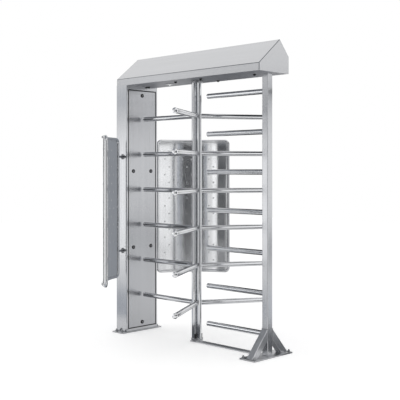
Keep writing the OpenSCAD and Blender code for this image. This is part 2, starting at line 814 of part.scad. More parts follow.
module index_wheel() {
  color([0.5, 0.5, 0.48])
    difference() {
      union() {
        translate([0, 0, hub_z0]) cylinder(d = hub_d, h = hub_h + index_t);
        translate([0, 0, index_z0]) cylinder(d = index_d, h = index_t, $fn = 120);
      }
      translate([0, 0, hub_z0 - overrun]) cylinder(d = shaft_d, h = hub_h + index_t + 2 * overrun);
      for (k = [0 : notch_count - 1])
        rotate([0, 0, k * 360 / notch_count])
          translate([index_d / 2 - notch_depth, -notch_w / 2, index_z0 - overrun])
            cube([notch_depth + overrun, notch_w, index_t + 2 * overrun]);
    }
}

// The right pawl's side is 0 and the left one's is 180: the left one is the right one turned round
module pawl(side) {
  color([0.45, 0.45, 0.43])
    rotate([0, 0, side]) translate([pawl_pin_x, pawl_len, index_z0]) rotate([0, 0, pawl_swing])
      difference() {
        union() {
          cylinder(d = pawl_w, h = index_t);
          translate([-pawl_w / 2, -pawl_len - tooth_w / 2, 0]) cube([pawl_w, pawl_len + tooth_w / 2, index_t]);
          translate([tooth_tip_x - pawl_pin_x, -pawl_len - tooth_w / 2, 0])
            cube([pawl_pin_x - tooth_tip_x, tooth_w, index_t]);
        }
        translate([0, 0, -overrun]) cylinder(d = pawl_pin_d + 2 * running_gap, h = index_t + 2 * overrun);
      }
}

module pawl_right() { pawl(0); }
module pawl_left() { pawl(180); }

module pawl_pins() {
  color([0.6, 0.6, 0.6])
    for (side = [0, 180])
      rotate([0, 0, side]) translate([pawl_pin_x, pawl_len, drive_plate_z1]) {
        cylinder(d = pawl_shoulder_d, h = index_z0 - drive_plate_z1 - seat_gap);
        cylinder(d = pawl_pin_d, h = index_z1 - drive_plate_z1 + pawl_pin_end);
      }
}

module solenoid(side) {
  color([0.2, 0.2, 0.22])
    rotate([0, 0, side])
      difference() {
        translate([solenoid_x, solenoid_y - solenoid_w / 2, drive_plate_z1])
          cube([solenoid_len, solenoid_w, gear_z + solenoid_w / 2 - drive_plate_z1]);
        translate([solenoid_x - overrun, solenoid_y, gear_z]) rotate([0, 90, 0])
          cylinder(d = plunger_d + 2 * running_gap, h = solenoid_len - solenoid_end + overrun);
      }
}

module plunger(side) {
  color([0.75, 0.75, 0.75])
    rotate([0, 0, side]) translate([plunger_tip_x, solenoid_y, gear_z]) rotate([0, 90, 0])
      cylinder(d = plunger_d, h = solenoid_x + solenoid_len - solenoid_end - plunger_tail - plunger_tip_x);
}

module solenoid_right() { solenoid(0); }
module solenoid_left() { solenoid(180); }
module plunger_right() { plunger(0); }
module plunger_left() { plunger(180); }

// Flanged pulley of diameter d with a bore for its shaft, standing on z = 0
module pulley(d, bore) {
  difference() {
    union() {
      cylinder(d = d, h = pulley_h);
      for (z = [0, pulley_h - pulley_flange_t])
        translate([0, 0, z]) cylinder(d = d + 2 * pulley_rim, h = pulley_flange_t);
    }
    if (bore > 0) translate([0, 0, -overrun]) cylinder(d = bore, h = pulley_h + 2 * overrun);
  }
}

module drive_pulley() {
  color([0.55, 0.55, 0.55]) {
    translate([0, 0, pulley_z0]) pulley(drive_pulley_d, shaft_d);
    difference() {
      translate([0, 0, index_z1]) cylinder(d = hub_d, h = pulley_z0 + pulley_flange_t - index_z1);
      translate([0, 0, index_z1 - overrun]) cylinder(d = shaft_d, h = pulley_z0 + pulley_h - index_z1);
    }
  }
}

module damper_body() {
  color([0.25, 0.25, 0.27])
    translate([damper_x, 0, drive_plate_z1])
      difference() {
        union() {
          cylinder(d = damper_flange_d, h = damper_flange_t);
          cylinder(d = damper_d, h = pulley_z0 - drive_plate_z1 - seat_gap);
        }
        translate([0, 0, damper_flange_t])
          cylinder(d = damper_shaft_d + 2 * running_gap, h = pulley_z0 - drive_plate_z1);
      }
}

module damper_pulley() {
  shaft_z0 = drive_plate_z1 + damper_flange_t + seat_gap;
  color([0.55, 0.55, 0.55])
    translate([damper_x, 0, 0]) {
      translate([0, 0, pulley_z0]) pulley(damper_pulley_d, 0);
      translate([0, 0, shaft_z0]) cylinder(d = damper_shaft_d, h = pulley_z0 + pulley_h - shaft_z0);
    }
}

// Outline of a belt round both pulleys, air away from them
module belt_outline(air) {
  hull() {
    circle(d = drive_pulley_d + 2 * air);
    translate([damper_x, 0]) circle(d = damper_pulley_d + 2 * air);
  }
}

module damper_belt() {
  color([0.08, 0.08, 0.08])
    translate([0, 0, pulley_z0 + pulley_flange_t + seat_gap])
      linear_extrude(height = belt_w)
        difference() {
          belt_outline(seat_gap + belt_t);
          belt_outline(seat_gap);
        }
}

column_shell();
column_base_plate();
service_panel();
lock_housings();
lock_top();
lock_upper_front();
lock_upper_back();
lock_lower_front();
lock_lower_back();
lock_bottom();
control_box();
post_tube();
post_base_plate();
strut_front();
strut_back();
floor_bar();
comb_bar_1();
comb_bar_2();
comb_bar_3();
comb_bar_4();
comb_bar_5();
comb_bar_6();
comb_bar_7();
guard_front_frame();
guard_front_sheet();
guard_back_frame();
guard_back_sheet();
guard_standoffs();
roof_cover();
soffit_panel();
soffit_screws();
downlight();
head_rails();
head_cross_members();
drive_plate();
bearing_housing();
top_bearing();
floor_pivot();
mast_tubes();
mast_foot_plate();
mast_head_plate();
rotor_shaft();
wing_left_arms();
wing_front_arms();
wing_back_arms();
arm_caps();
index_wheel();
pawl_pins();
pawl_right();
pawl_left();
solenoid_right();
solenoid_left();
plunger_right();
plunger_left();
drive_pulley();
damper_body();
damper_pulley();
damper_belt();
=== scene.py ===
import math

import bmesh
import bpy
from mathutils import Matrix, Vector


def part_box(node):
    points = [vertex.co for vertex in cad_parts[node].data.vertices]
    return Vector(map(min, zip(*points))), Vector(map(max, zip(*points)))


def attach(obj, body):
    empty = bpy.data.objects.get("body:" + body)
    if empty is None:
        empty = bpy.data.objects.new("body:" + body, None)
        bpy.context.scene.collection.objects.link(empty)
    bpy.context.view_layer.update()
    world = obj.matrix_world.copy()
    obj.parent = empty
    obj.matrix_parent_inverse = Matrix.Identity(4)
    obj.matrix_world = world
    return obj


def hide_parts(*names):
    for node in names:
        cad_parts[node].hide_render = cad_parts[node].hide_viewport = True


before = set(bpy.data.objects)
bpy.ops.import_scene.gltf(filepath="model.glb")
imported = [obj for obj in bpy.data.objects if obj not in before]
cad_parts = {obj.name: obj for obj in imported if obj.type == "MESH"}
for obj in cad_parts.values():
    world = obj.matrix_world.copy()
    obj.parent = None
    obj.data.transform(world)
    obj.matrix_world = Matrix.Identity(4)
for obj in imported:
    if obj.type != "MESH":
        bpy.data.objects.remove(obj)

scene = bpy.context.scene
scene.view_settings.view_transform = "Standard"
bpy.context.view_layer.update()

# Viewpoint: a level camera with a long lens, standing off the comb side of the gate
# at chest height. Its frame slides down a little so that head and feet both show.
view_turn = math.radians(44.6)
eye_aside, eye_away, eye_height = 0.0238, 6.543, 1.3706
eye_lens, eye_slide = 73.26, -0.0718
view_ahead = Vector((-math.sin(view_turn), math.cos(view_turn), 0))
view_right = Vector((math.cos(view_turn), math.sin(view_turn), 0))
eye = bpy.data.objects.new("eye", bpy.data.cameras.new("eye"))
scene.collection.objects.link(eye)
eye.location = view_right * eye_aside - view_ahead * eye_away + Vector((0, 0, eye_height))
eye.rotation_euler = view_ahead.to_track_quat("-Z", "Y").to_euler()
eye.data.lens = eye_lens
eye.data.shift_y = eye_slide
scene.camera = eye


# Box column: a casing folded from 3 mm stainless sheet, open towards the passage, with
# a welded ledge that the service panel closes on. Satin grain runs up and down.
class Wire:
    """A shader socket that can be reckoned with; an expression on it adds its nodes."""

    def __init__(self, tree, socket=None):
        self.tree = tree
        self.socket = socket

    def node(self, kind, settings=None, sockets=None, out=0):
        made = self.tree.nodes.new(kind)
        for name, value in (settings or {}).items():
            setattr(made, name, value)
        for name, value in (sockets or {}).items():
            if isinstance(value, Wire):
                self.tree.links.new(value.socket, made.inputs[name])
            else:
                made.inputs[name].default_value = value
        return Wire(self.tree, made.outputs[out])

    def maths(self, operation, first, second):
        return self.node("ShaderNodeMath", {"operation": operation}, {0: first, 1: second})

    def __add__(self, other):
        return self.maths("ADD", self, other)

    def __sub__(self, other):
        return self.maths("SUBTRACT", self, other)

    def __mul__(self, other):
        return self.maths("MULTIPLY", self, other)

    def __gt__(self, other):
        return self.maths("GREATER_THAN", self, other)

    __radd__ = __add__


def new_finish(name, **fixed):
    """A material, its object coordinates and its shader; fixed names the shader's plain values."""
    finish = bpy.data.materials.new(name)
    finish.use_nodes = True
    shader = finish.node_tree.nodes["Principled BSDF"]
    for socket, value in fixed.items():
        shader.inputs[socket.replace("_", " ")].default_value = value
    place = Wire(finish.node_tree).node("ShaderNodeTexCoord", out="Object")
    return finish, place, shader


def noise(place, scale, detail=2.0, stretch=(1, 1, 1)):
    spot = place.node("ShaderNodeMapping", None, {"Vector": place, "Scale": stretch})
    return place.node("ShaderNodeTexNoise", None, {"Vector": spot, "Scale": scale, "Detail": detail})


def blend_colours(share, low, high):
    return share.node("ShaderNodeMix", {"data_type": "RGBA"},
                      {"Factor": share, 6: (*low, 1), 7: (*high, 1)}, out=2)


def bumps(height, strength, distance, under=None):
    """A bump map; under is the normal that it is laid on."""
    sockets = {"Strength": strength, "Distance": distance, "Height": height}
    if under:
        sockets["Normal"] = under
    return height.node("ShaderNodeBump", None, sockets)


def feed(shader, **wires):
    for socket, wire in wires.items():
        wire.tree.links.new(wire.socket, shader.inputs[socket.replace("_", " ")])


def satin_steel(name, tone, grain, roughness=0.2, depth=0.05, streak=0.07):
    """Stainless steel with fine lines; grain is how fast they change along X, Y and Z."""
    finish, place, shader = new_finish(name, Metallic=1.0)
    lines = noise(place, 1.0, 3.0, grain)
    coarse = noise(place, 0.22, 2.0, grain)
    cloud = noise(place, 2.3, 3.0)
    shade = lines * 0.5 + coarse * 0.3 + cloud * 0.2
    low = [c * (1 - 3 * streak) for c in tone]
    high = [min(1, c * (1 + 3 * streak)) for c in tone]
    feed(shader, Normal=bumps(lines, depth, 0.001), Base_Color=blend_colours(shade, low, high),
         Roughness=roughness + (lines - 0.5) * 0.1 + (cloud - 0.5) * 0.08)
    return finish


def cad_copy(node):
    """A node's own mesh, its loose triangles joined and its flat faces whole again."""
    shape = bmesh.new()
    shape.from_mesh(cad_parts[node].data)
    bmesh.ops.remove_doubles(shape, verts=shape.verts, dist=2e-5)
    bmesh.ops.dissolve_limit(shape, angle_limit=math.radians(0.3), verts=shape.verts, edges=shape.edges)
    least_bend, most_bend = math.radians(1), math.radians(25)
    for face in shape.faces:
        face.smooth = any(least_bend < edge.calc_face_angle(0) < most_bend for edge in face.edges)
    return shape


def ease(shape, width, chosen=None, segments=3, angle=30):
    """Rounds the sharp edges, or those that chosen picks by their two ends."""
    sharp = [e for e in shape.edges if len(e.link_faces) == 2 and e.is_convex
             and e.calc_face_angle(0) > math.radians(angle)
             and (chosen is None or chosen(*[v.co for v in e.verts]))]
    eased = bmesh.ops.bevel(shape, geom=sharp, offset=width, segments=segments, profile=0.5,
                            affect="EDGES", clamp_overlap=True, material=-1)
    for face in eased["faces"]:
        face.smooth = True


def on_side(spot, low, high, axis):
    """Whether a point lies on a box's lowest or highest side along one axis."""
    return min(abs(spot[axis] - low[axis]), abs(spot[axis] - high[axis])) < 1e-4


def upright_corners(low, high, least):
    """Picks a box's upright corner edges, if they are longer than least."""

    def chosen(a, b):
        return abs(a.z - b.z) > least and all(on_side(p, low, high, k) for p in (a, b) for k in (0, 1))

    return chosen


def piece(name, shape, finish, body, stands_for=()):
    """Makes the finished piece, smooth but for its sharp edges, and hangs it on its body."""
    crease = math.radians(35)
    for edge in shape.edges:
        edge.smooth = len(edge.link_faces) == 2 and edge.calc_face_angle(0) < crease
    mesh = bpy.data.meshes.new(name)
    shape.to_mesh(mesh)
    shape.free()
    made = bpy.data.objects.new(name, mesh)
    made.data.materials.append(finish)
    scene.collection.objects.link(made)
    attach(made, body)
    if stands_for:
        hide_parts(*stands_for)
    return made


upright_grain = (260, 260, 2.2)
shell_steel = satin_steel("shell_satin", (0.565, 0.572, 0.59), upright_grain)
casing_low, casing_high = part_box("column_shell")
casing_fold_r, casing_edge_r = 0.0035, 0.0007
shape = cad_copy("column_shell")
ease(shape, casing_fold_r, upright_corners(casing_low, casing_high, least=0.3), segments=4)
ease(shape, casing_edge_r, segments=2, angle=60)
piece("column_casing", shape, shell_steel, "frame", ["column_shell"])

# Service panel: a flat stainless door, 3 mm thick, set flush into the casing with a dark
# joint all round. It is pierced for six locks and its edges are broken by hand.
panel_steel = satin_steel("panel_satin", (0.50, 0.507, 0.525), upright_grain, roughness=0.24)
panel_edge_r = 0.0006
shape = cad_copy("service_panel")
ease(shape, panel_edge_r, segments=2, angle=60)
piece("service_door", shape, panel_steel, "panel", ["service_panel"])

# Door seal: a black rubber section pushed into the joint round the service panel, with a 6 mm black lip
# lying on the casing round it. The rubber in the joint is real; the lip's black is painted shade,
# standing in for the shadow of the joint. The lip lies on the casing, so the panel lifts off without it.
black_rubber, place, shader = new_finish("black_rubber")
dust = noise(place, 180.0, 3.0)
feed(shader, Base_Color=blend_colours(dust, (0.008, 0.008, 0.009), (0.03, 0.03, 0.032)),
     Roughness=0.5 + dust * 0.25)
panel_low, panel_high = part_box("service_panel")
seal_reach, seal_w, seal_sunk = 0.0029, 0.0024, 0.0003
shade_lip_reach, shade_lip_w, shade_lip_air, shade_lip_top = 0.0089, 0.006, 0.00005, 0.0012


def hollow_strip(shape, reach, width, x_low, x_high):
    """A rectangular ring round the panel; reach is how far its outer edge stands off."""
    low_y, high_y = panel_low.y - reach, panel_high.y + reach
    low_z, high_z = panel_low.z - reach, panel_high.z + reach
    corners = [shape.verts.new((x_low, y, z))
               for y, z in ((low_y, low_z), (high_y, low_z), (high_y, high_z), (low_y, high_z))]
    middle = shape.faces.new(corners)
    shape.normal_update()
    inset = bmesh.ops.inset_individual(shape, faces=[middle], thickness=width, use_even_offset=True)
    bmesh.ops.delete(shape, geom=[middle], context="FACES_ONLY")
    grown = bmesh.ops.extrude_face_region(shape, geom=inset["faces"])
    risen = [part for part in grown["geom"] if isinstance(part, bmesh.types.BMVert)]
    bmesh.ops.translate(shape, vec=(x_high - x_low, 0, 0), verts=risen)


shape = bmesh.new()
hollow_strip(shape, seal_reach, seal_w, panel_low.x, panel_high.x - seal_sunk)
# The lip: a black band on the casing beside the joint, painted shade of the joint.
hollow_strip(shape, shade_lip_reach, shade_lip_w, panel_high.x + shade_lip_air, panel_high.x + shade_lip_top)
bmesh.ops.recalc_face_normals(shape, faces=shape.faces)
piece("door_seal_and_shade", shape, black_rubber, "frame")

# Column's foot: a 10 mm plate welded under the casing, with a hole near each corner for
# the anchors. Its edges are laser cut and lightly broken, and it is duller than the shell.
plate_steel = satin_steel("plate_satin", (0.46, 0.465, 0.48), (40, 40, 40), roughness=0.33, streak=0.1)
zinc = satin_steel("zinc_plate", (0.42, 0.43, 0.44), (30, 30, 30), roughness=0.4, streak=0.1)
plate_edge_r = 0.001
anchor_inset_y = 0.025
weld_size = 0.0024
washer_outline = [(0.0062, 0), (0.012, 0), (0.012, 0.0022), (0.0115, 0.0026), (0.0062, 0.0026)]
nut_outline = [(0.0061, 0.0027), (0.0104, 0.0027), (0.0108, 0.0034), (0.0108, 0.0118),
               (0.0098, 0.0128), (0.0061, 0.0128)]
stud_tip = [(0.006, 0.0195), (0.0048, 0.021), (0, 0.021)]
stud_r, stud_from = 0.006, 0.001


def plate(name, node, corner_r):
    shape = cad_copy(node)
    ease(shape, corner_r, upright_corners(*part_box(node), least=0.005), segments=5, angle=60)
    ease(shape, plate_edge_r, segments=2, angle=60)
    piece(name, shape, plate_steel, "frame", [node])


def turned(shape, outline, place=Matrix.Identity(4), steps=48):
    """Spins an outline of radius and height round Z, then puts it in place."""
    spun = bmesh.new()
    points = [spun.verts.new((radius, 0, height)) for radius, height in outline]
    lines = [spun.edges.new(pair) for pair in zip(points, points[1:])]
    bmesh.ops.spin(spun, geom=points + lines, cent=(0, 0, 0), axis=(0, 0, 1), dvec=(0, 0, 0),
                   angle=math.tau, steps=steps, use_merge=True, use_duplicate=False)
    bmesh.ops.remove_doubles(spun, verts=spun.verts, dist=1e-6)
    bmesh.ops.recalc_face_normals(spun, faces=spun.faces)
    for face in spun.faces:
        face.smooth = True
    bmesh.ops.transform(spun, matrix=place, verts=spun.verts)
    part = bpy.data.meshes.new("part")
    spun.to_mesh(part)
    spun.free()
    shape.from_mesh(part)
    bpy.data.meshes.remove(part)


def anchors(name, node, middle_x, half_x):
    """Expansion anchors in a foot plate: washer, nut and the end of the stud."""
    low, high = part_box(node)
    root = stud_from - high.z
    shape = bmesh.new()
    for x in (middle_x - half_x, middle_x + half_x):
        for y in (low.y + anchor_inset_y, high.y - anchor_inset_y):
            spot = Matrix.Translation((x, y, high.z))
            turned(shape, washer_outline, spot, steps=24)
            turned(shape, nut_outline, spot, steps=6)
            turned(shape, [(0, root), (stud_r, root)] + stud_tip, spot, steps=16)
    piece(name, shape, zinc, "frame")


def bead(shape, points, size):
    """A rippled weld bead: small lobes laid one on the next along the points."""
    for start, stop in zip(points, points[1:]):
        count = max(1, round((stop - start).length / (size * 1.2)))
        for k in range(count):
            spot = Matrix.Translation(start.lerp(stop, k / count))
            bmesh.ops.create_icosphere(shape, subdivisions=1, radius=size, matrix=spot)
    for face in shape.faces:
        face.smooth = True


plate("column_foot", "column_base_plate", corner_r=0.008)
anchors("column_anchors", "column_base_plate", (casing_low.x + casing_high.x) / 2, half_x=0.035)
weld_from_x, weld_to_x = casing_low.x + 0.003, casing_high.x + 0.0012
weld_y, weld_z = casing_high.y + 0.0014, casing_low.z + 0.0012
shape = bmesh.new()
bead(shape, [Vector((weld_from_x, -weld_y, weld_z)), Vector((weld_to_x, -weld_y, weld_z)),
             Vector((weld_to_x, weld_y, weld_z)), Vector((weld_from_x, weld_y, weld_z))], weld_size)
piece("column_foot_weld", shape, plate_steel, "frame")

# Post: a 55 mm square stainless tube with drawn corners, from the floor to the head.
# Two struts of the same tube brace it, mitred and welded to it and to its plate.
post_steel = satin_steel("post_satin", (0.56, 0.567, 0.585), (300, 300, 2.4), roughness=0.23)
strut_steel = satin_steel("strut_satin", (0.58, 0.587, 0.605), (150, 60, 60), roughness=0.3, streak=0.09)
post_low, post_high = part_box("post_tube")
post_plate_low, post_plate_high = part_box("post_base_plate")
post_corner_r, strut_corner_r = 0.0045, 0.004
plate_reach, side_reach = 0.0101, 0.0277
weld_lift, weld_stand_off = 0.001, 0.0285


def strut_edge(a, b):
    """Picks a strut's long edges: their ends lie on the post's two outer faces."""
    return (a - b).length > 0.1 and all(on_side(p, post_low, post_high, 0) for p in (a, b))


def footprint(node, keep):
    """Lowest and highest corners of the points of a node that keep picks."""
    spots = [v.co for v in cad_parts[node].data.vertices if keep(v.co)]
    return [Vector([pick(spot[k] for spot in spots) for k in range(3)]) for pick in (min, max)]


def loop_round(low, high, across, along):
    """The corners of a rectangle between two points, on two of their axes, closed."""
    return [(low[across], low[along]), (high[across], low[along]), (high[across], high[along]),
            (low[across], high[along]), (low[across], low[along])]


shape = cad_copy("post_tube")
ease(shape, post_corner_r, upright_corners(post_low, post_high, least=1), segments=6)
piece("post", shape, post_steel, "frame", ["post_tube"])
for side in ("front", "back"):
    shape = cad_copy("strut_" + side)
    ease(shape, strut_corner_r, strut_edge, segments=5, angle=20)
    piece("brace_" + side, shape, strut_steel, "frame", ["strut_" + side])
plate("post_foot", "post_base_plate", corner_r=0.01)
post_plate_x = (post_plate_low.x + post_plate_high.x) / 2
anchors("post_anchors", "post_base_plate", post_plate_x, half_x=0.054)
shape = bmesh.new()
for node in ("post_tube", "strut_front", "strut_back"):
    low, high = footprint(node, lambda spot: spot.z < plate_reach)
    bead(shape, [Vector((x, y, low.z + weld_lift)) for x, y in loop_round(low, high, 0, 1)], weld_size)
for node, y in (("strut_front", -weld_stand_off), ("strut_back", weld_stand_off)):
    low, high = footprint(node, lambda spot: abs(spot.y) < side_reach)
    bead(shape, [Vector((x, y, z)) for x, z in loop_round(low, high, 0, 2)], weld_size)
piece("post_welds", shape, plate_steel, "frame")

# Floor bar: a flat stainless bar that lies on the ground from under the rotor's foot to
# the post's plate. It is drawn bar, so its long edges are slightly round.
floor_bar_edge_r = 0.0015
shape = cad_copy("floor_bar")
ease(shape, floor_bar_edge_r, segments=3, angle=60)
piece("sill_bar", shape, strut_steel, "frame", ["floor_bar"])


# Comb: seven fixed 40 mm tubes, polished, each closed with a domed plug at its free end
# and welded to the post at the other, where a small fillet of weld runs round it.
def tube_polish(name, tone, grain=3, roughness=0.13):
    """Polished tube: nearly even steel with barely any lines left."""
    return satin_steel(name, tone, (grain, grain, grain), roughness=roughness, depth=0.02, streak=0.03)


def dome_outline(radius, rise, steps=7):
    """From the tip of a shallow dome out to its rim."""
    ball = (radius * radius + rise * rise) / (2 * rise)
    reach = math.asin(radius / ball)
    return [(ball * math.sin(reach * k / steps), ball - ball * math.cos(reach * k / steps))
            for k in range(steps + 1)]


def lying(x, y, z, heading):
    """Lays a turned part's Z axis along a level heading, starting at x, y, z."""
    level = Matrix.Rotation(heading, 4, "Z") @ Matrix.Rotation(math.pi / 2, 4, "Y")
    return Matrix.Translation((x, y, z)) @ level


bar_polish = tube_polish("bar_polish", (0.8, 0.81, 0.83))
bar_r, bar_dome = 0.02, 0.007
plug_seam = [(bar_r - 0.0006, 0.0068), (bar_r, 0.0076), (bar_r, 0.0146), (bar_r - 0.0007, 0.0150),
             (bar_r - 0.0007, 0.0158), (bar_r, 0.0162)]
fillet = [(bar_r, 0.005), (bar_r + 0.0008, 0.0025), (bar_r + 0.0025, 0.0008), (bar_r + 0.0045, 0.0002),
          (0, 0.0002)]
for k in range(1, 8):
    low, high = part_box(f"comb_bar_{k}")
    length = high.x - low.x
    outline = dome_outline(bar_r, bar_dome)[:-1] + plug_seam + [(r, length - rest) for r, rest in fillet]
    shape = bmesh.new()
    turned(shape, outline, lying(low.x, 0, (low.z + high.z) / 2, 0))
    piece(f"comb_tube_{k}", shape, bar_polish, "frame", [f"comb_bar_{k}"])


# Rotor mast: three polished tubes side by side, between a foot plate that turns on the
# floor pivot and a head plate that hangs from the shaft.
def heading_turn(degrees):
    return Matrix.Rotation(math.radians(degrees), 4, "Z")


mast_polish = tube_polish("mast_polish", (0.71, 0.719, 0.738), grain=5, roughness=0.1)
foot_low, foot_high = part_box("mast_foot_plate")
top_low, top_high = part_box("mast_head_plate")
mast_r, mast_offset = 0.019, 0.025
disc_r = (foot_high.x - foot_low.x) / 2
disc_bore, disc_edge = 0.0153, 0.0012
shape = bmesh.new()
for degrees in (0, 120, 240):
    across = heading_turn(degrees) @ Matrix.Translation((mast_offset, 0, 0))
    turned(shape, [(mast_r, foot_high.z), (mast_r, top_low.z)], across)
piece("mast", shape, mast_polish, "rotor", ["mast_tubes"])
for name, node, low, high in (("mast_foot", "mast_foot_plate", foot_low, foot_high),
                              ("mast_head", "mast_head_plate", top_low, top_high)):
    shape = bmesh.new()
    turned(shape, [(disc_bore, low.z), (disc_r - disc_edge, low.z), (disc_r, low.z + disc_edge),
                   (disc_r, high.z - disc_edge), (disc_r - disc_edge, high.z), (0, high.z)], steps=64)
    piece(name, shape, plate_steel, "rotor", [node])

# Foot bolts: three black socket bolts in the valleys between the mast tubes, with spacers,
# that hold the foot plate to the pivot below it.
black_oxide, place, shader = new_finish("black_oxide", Metallic=0.3)
speck = noise(place, 300.0)
feed(shader, Base_Color=blend_colours(speck, (0.012, 0.012, 0.013), (0.03, 0.03, 0.032)),
     Roughness=0.35 + speck * 0.2)
bolt_circle_r = 0.0375
spacer_outline = [(0, 0), (0.0062, 0), (0.0062, 0.0245), (0, 0.0245)]
bolt_outline = [(0, 0.0245), (0.0072, 0.0247), (0.0075, 0.0252), (0.0075, 0.0325), (0.0068, 0.0335),
                (0.0035, 0.0335), (0.0035, 0.0285), (0, 0.0285)]
shape = bmesh.new()
for degrees in (60, 180, 300):
    spot = heading_turn(degrees) @ Matrix.Translation((bolt_circle_r, 0, foot_high.z))
    turned(shape, spacer_outline, spot, steps=20)
    turned(shape, bolt_outline, spot, steps=20)
piece("mast_foot_bolts", shape, black_oxide, "rotor")

# Rotor arms: three wings of six polished 40 mm tubes, coped into the valleys between the
# mast tubes and welded all round with a rippled bead.
arm_tone = (0.65, 0.658, 0.676)
arm_rows = [0.315 + 0.3 * k for k in range(6)]
arm_end, arm_root, arm_wall = 0.622, 0.021, 0.0025
arm_weld, least_dip = 0.0026, 5e-5
wing_headings = {"left": 180, "front": -60, "back": 60}
rim_steps = 32
valley_y = mast_offset * math.sin(math.pi / 3)
for wing, degrees in wing_headings.items():
    shape = bmesh.new()
    welds = bmesh.new()
    for height in arm_rows:
        place = lying(0, 0, height, math.radians(degrees))
        turned(shape, [(bar_r, arm_root), (bar_r, arm_end), (bar_r - arm_wall, arm_end)], place)
        rim = []
        for k in range(rim_steps + 1):
            spin = math.tau * k / rim_steps
            aside = bar_r * math.cos(spin)
            inset = valley_y - abs(aside)
            along = mast_offset / 2 + math.sqrt(max(mast_r ** 2 - inset ** 2, least_dip))
            rim.append(place @ Vector((bar_r * math.sin(spin), aside, along)))
        bead(welds, rim, arm_weld)
    arm_polish = tube_polish(f"arm_polish_{wing}", arm_tone)
    piece(f"wing_{wing}", shape, arm_polish, "rotor", [f"wing_{wing}_arms"])
    piece(f"wing_{wing}_welds", welds, plate_steel, "rotor")

# Arm caps: bright turned plugs with a shallow dome, pressed into the arms and a shade
# wider than them, so that a narrow groove shows between arm and cap.
cap_bright = satin_steel("cap_bright", (0.82, 0.825, 0.84), (2, 2, 2), roughness=0.08, depth=0.01,
                         streak=0.02)
cap_r, cap_len, cap_dome = 0.021, 0.018, 0.007
cap_sleeve = [(0, -0.010), (0.0172, -0.010), (0.0172, 0), (0.019, 0), (0.019, 0.003),
              (cap_r - 0.0006, 0.003), (cap_r, 0.0036), (cap_r, 0.0104)]
cap_tip = [(r, cap_len - h) for r, h in reversed(dome_outline(cap_r - 0.0005, cap_dome))]
shape = bmesh.new()
for degrees in wing_headings.values():
    for height in arm_rows:
        start = heading_turn(degrees) @ Vector((arm_end, 0, height))
        turned(shape, cap_sleeve + cap_tip, lying(*start, math.radians(degrees)))
piece("arm_end_caps", shape, cap_bright, "rotor", ["arm_caps"])

# Guards: a hoop of 25 mm polished tube, bent at its corners and butt welded, holds a
# curved sheet of bright stainless. Its rivets stand in staggered rows, nearly flush outside.
hoop_polish = tube_polish("hoop_polish", (0.64, 0.647, 0.66), grain=4, roughness=0.14)
sheet_bright, place, shader = new_finish("sheet_bright", Metallic=1.0, Anisotropic=1.0,
                                         Anisotropic_Rotation=0.25)
roll_from_z = 1.557
waves = noise(place, 1.0, 1.0, (5, 5, 1.6))
smears = noise(place, 1.0, 3.0, (120, 120, 1.4))
dust = noise(place, 7.0, 3.0)
ripple = bumps(waves, 0.15, 0.02)
fine = bumps(smears, 0.05, 0.0005, ripple)
height = place.node("ShaderNodeSeparateXYZ", None, {0: place}, out=2)
rolled = height.maths("MAXIMUM", height - roll_from_z, 0.0)
roll = bumps(rolled * rolled * -1.0, 1.0, 1.0, fine)
tarnish = smears * 0.6 + dust * 0.4
feed(shader, Base_Color=blend_colours(tarnish, (0.64, 0.647, 0.66), (0.8, 0.807, 0.82)),
     Roughness=0.125 + smears * 0.03 + dust * 0.03, Normal=roll)
guard_r, half_sheet = 0.752, 0.001
rivet_outline = [(0, 0.004), (0.0036, 0.0035), (0.0062, 0.002), (0.0074, 0)]
outside_share = 0.2
rivet_columns, rivet_rows = 13, 7
rivet_first, rivet_step = 22.9, 3.05
rivet_top, rivet_pitch = 1.479, 0.1388
tack_size, tack_in = 0.0019, -0.0008
upright_turns, side_tacks, side_tack_len = (18.45, 66.05), [0.56 + 0.167 * k for k in range(7)], 0.018
rail_heights, end_tacks, end_tack_turn = (0.4951, 1.6269), [24.5 + 8.7 * k for k in range(5)], 1.4


def on_guard(side, degrees, height, outwards):
    """A point on a guard's sheet; degrees run from the column side of the rotor."""
    turn = math.radians(degrees)
    reach = guard_r + outwards
    return Vector((-reach * math.cos(turn), side * reach * math.sin(turn), height))


def aimed(spot, direction):
    """Puts a turned part's Z axis along a direction, starting at a point."""
    return Matrix.Translation(spot) @ direction.to_track_quat("Z", "Y").to_matrix().to_4x4()


for name, side in (("front", -1), ("back", 1)):
    shape = cad_copy(f"guard_{name}_frame")
    piece(f"guard_{name}_hoop", shape, hoop_polish, "frame", [f"guard_{name}_frame"])
    shape = cad_copy(f"guard_{name}_sheet")
    piece(f"guard_{name}_skin", shape, sheet_bright, "frame", [f"guard_{name}_sheet"])
    shape = bmesh.new()
    for column in range(rivet_columns):
        odd = column % 2
        for row in range(rivet_rows + odd):
            height = rivet_top - rivet_pitch * (row - odd / 2)
            for outwards, rise in ((-1, 1), (1, outside_share)):
                spot = on_guard(side, rivet_first + rivet_step * column, height, outwards * half_sheet)
                turned(shape, [(r, h * rise) for r, h in rivet_outline],
                       aimed(spot, Vector((spot.x, spot.y, 0)) * outwards), steps=8)
    piece(f"guard_{name}_rivets", shape, hoop_polish, "frame")
    shape = bmesh.new()
    for degrees in upright_turns:
        for height in side_tacks:
            bead(shape, [on_guard(side, degrees, height, tack_in),
                         on_guard(side, degrees, height + side_tack_len, tack_in)], tack_size)
    for height in rail_heights:
        for degrees in end_tacks:
            bead(shape, [on_guard(side, degrees, height, tack_in),
                         on_guard(side, degrees + end_tack_turn, height, tack_in)], tack_size)
    piece(f"guard_{name}_tacks", shape, plate_steel, "frame")

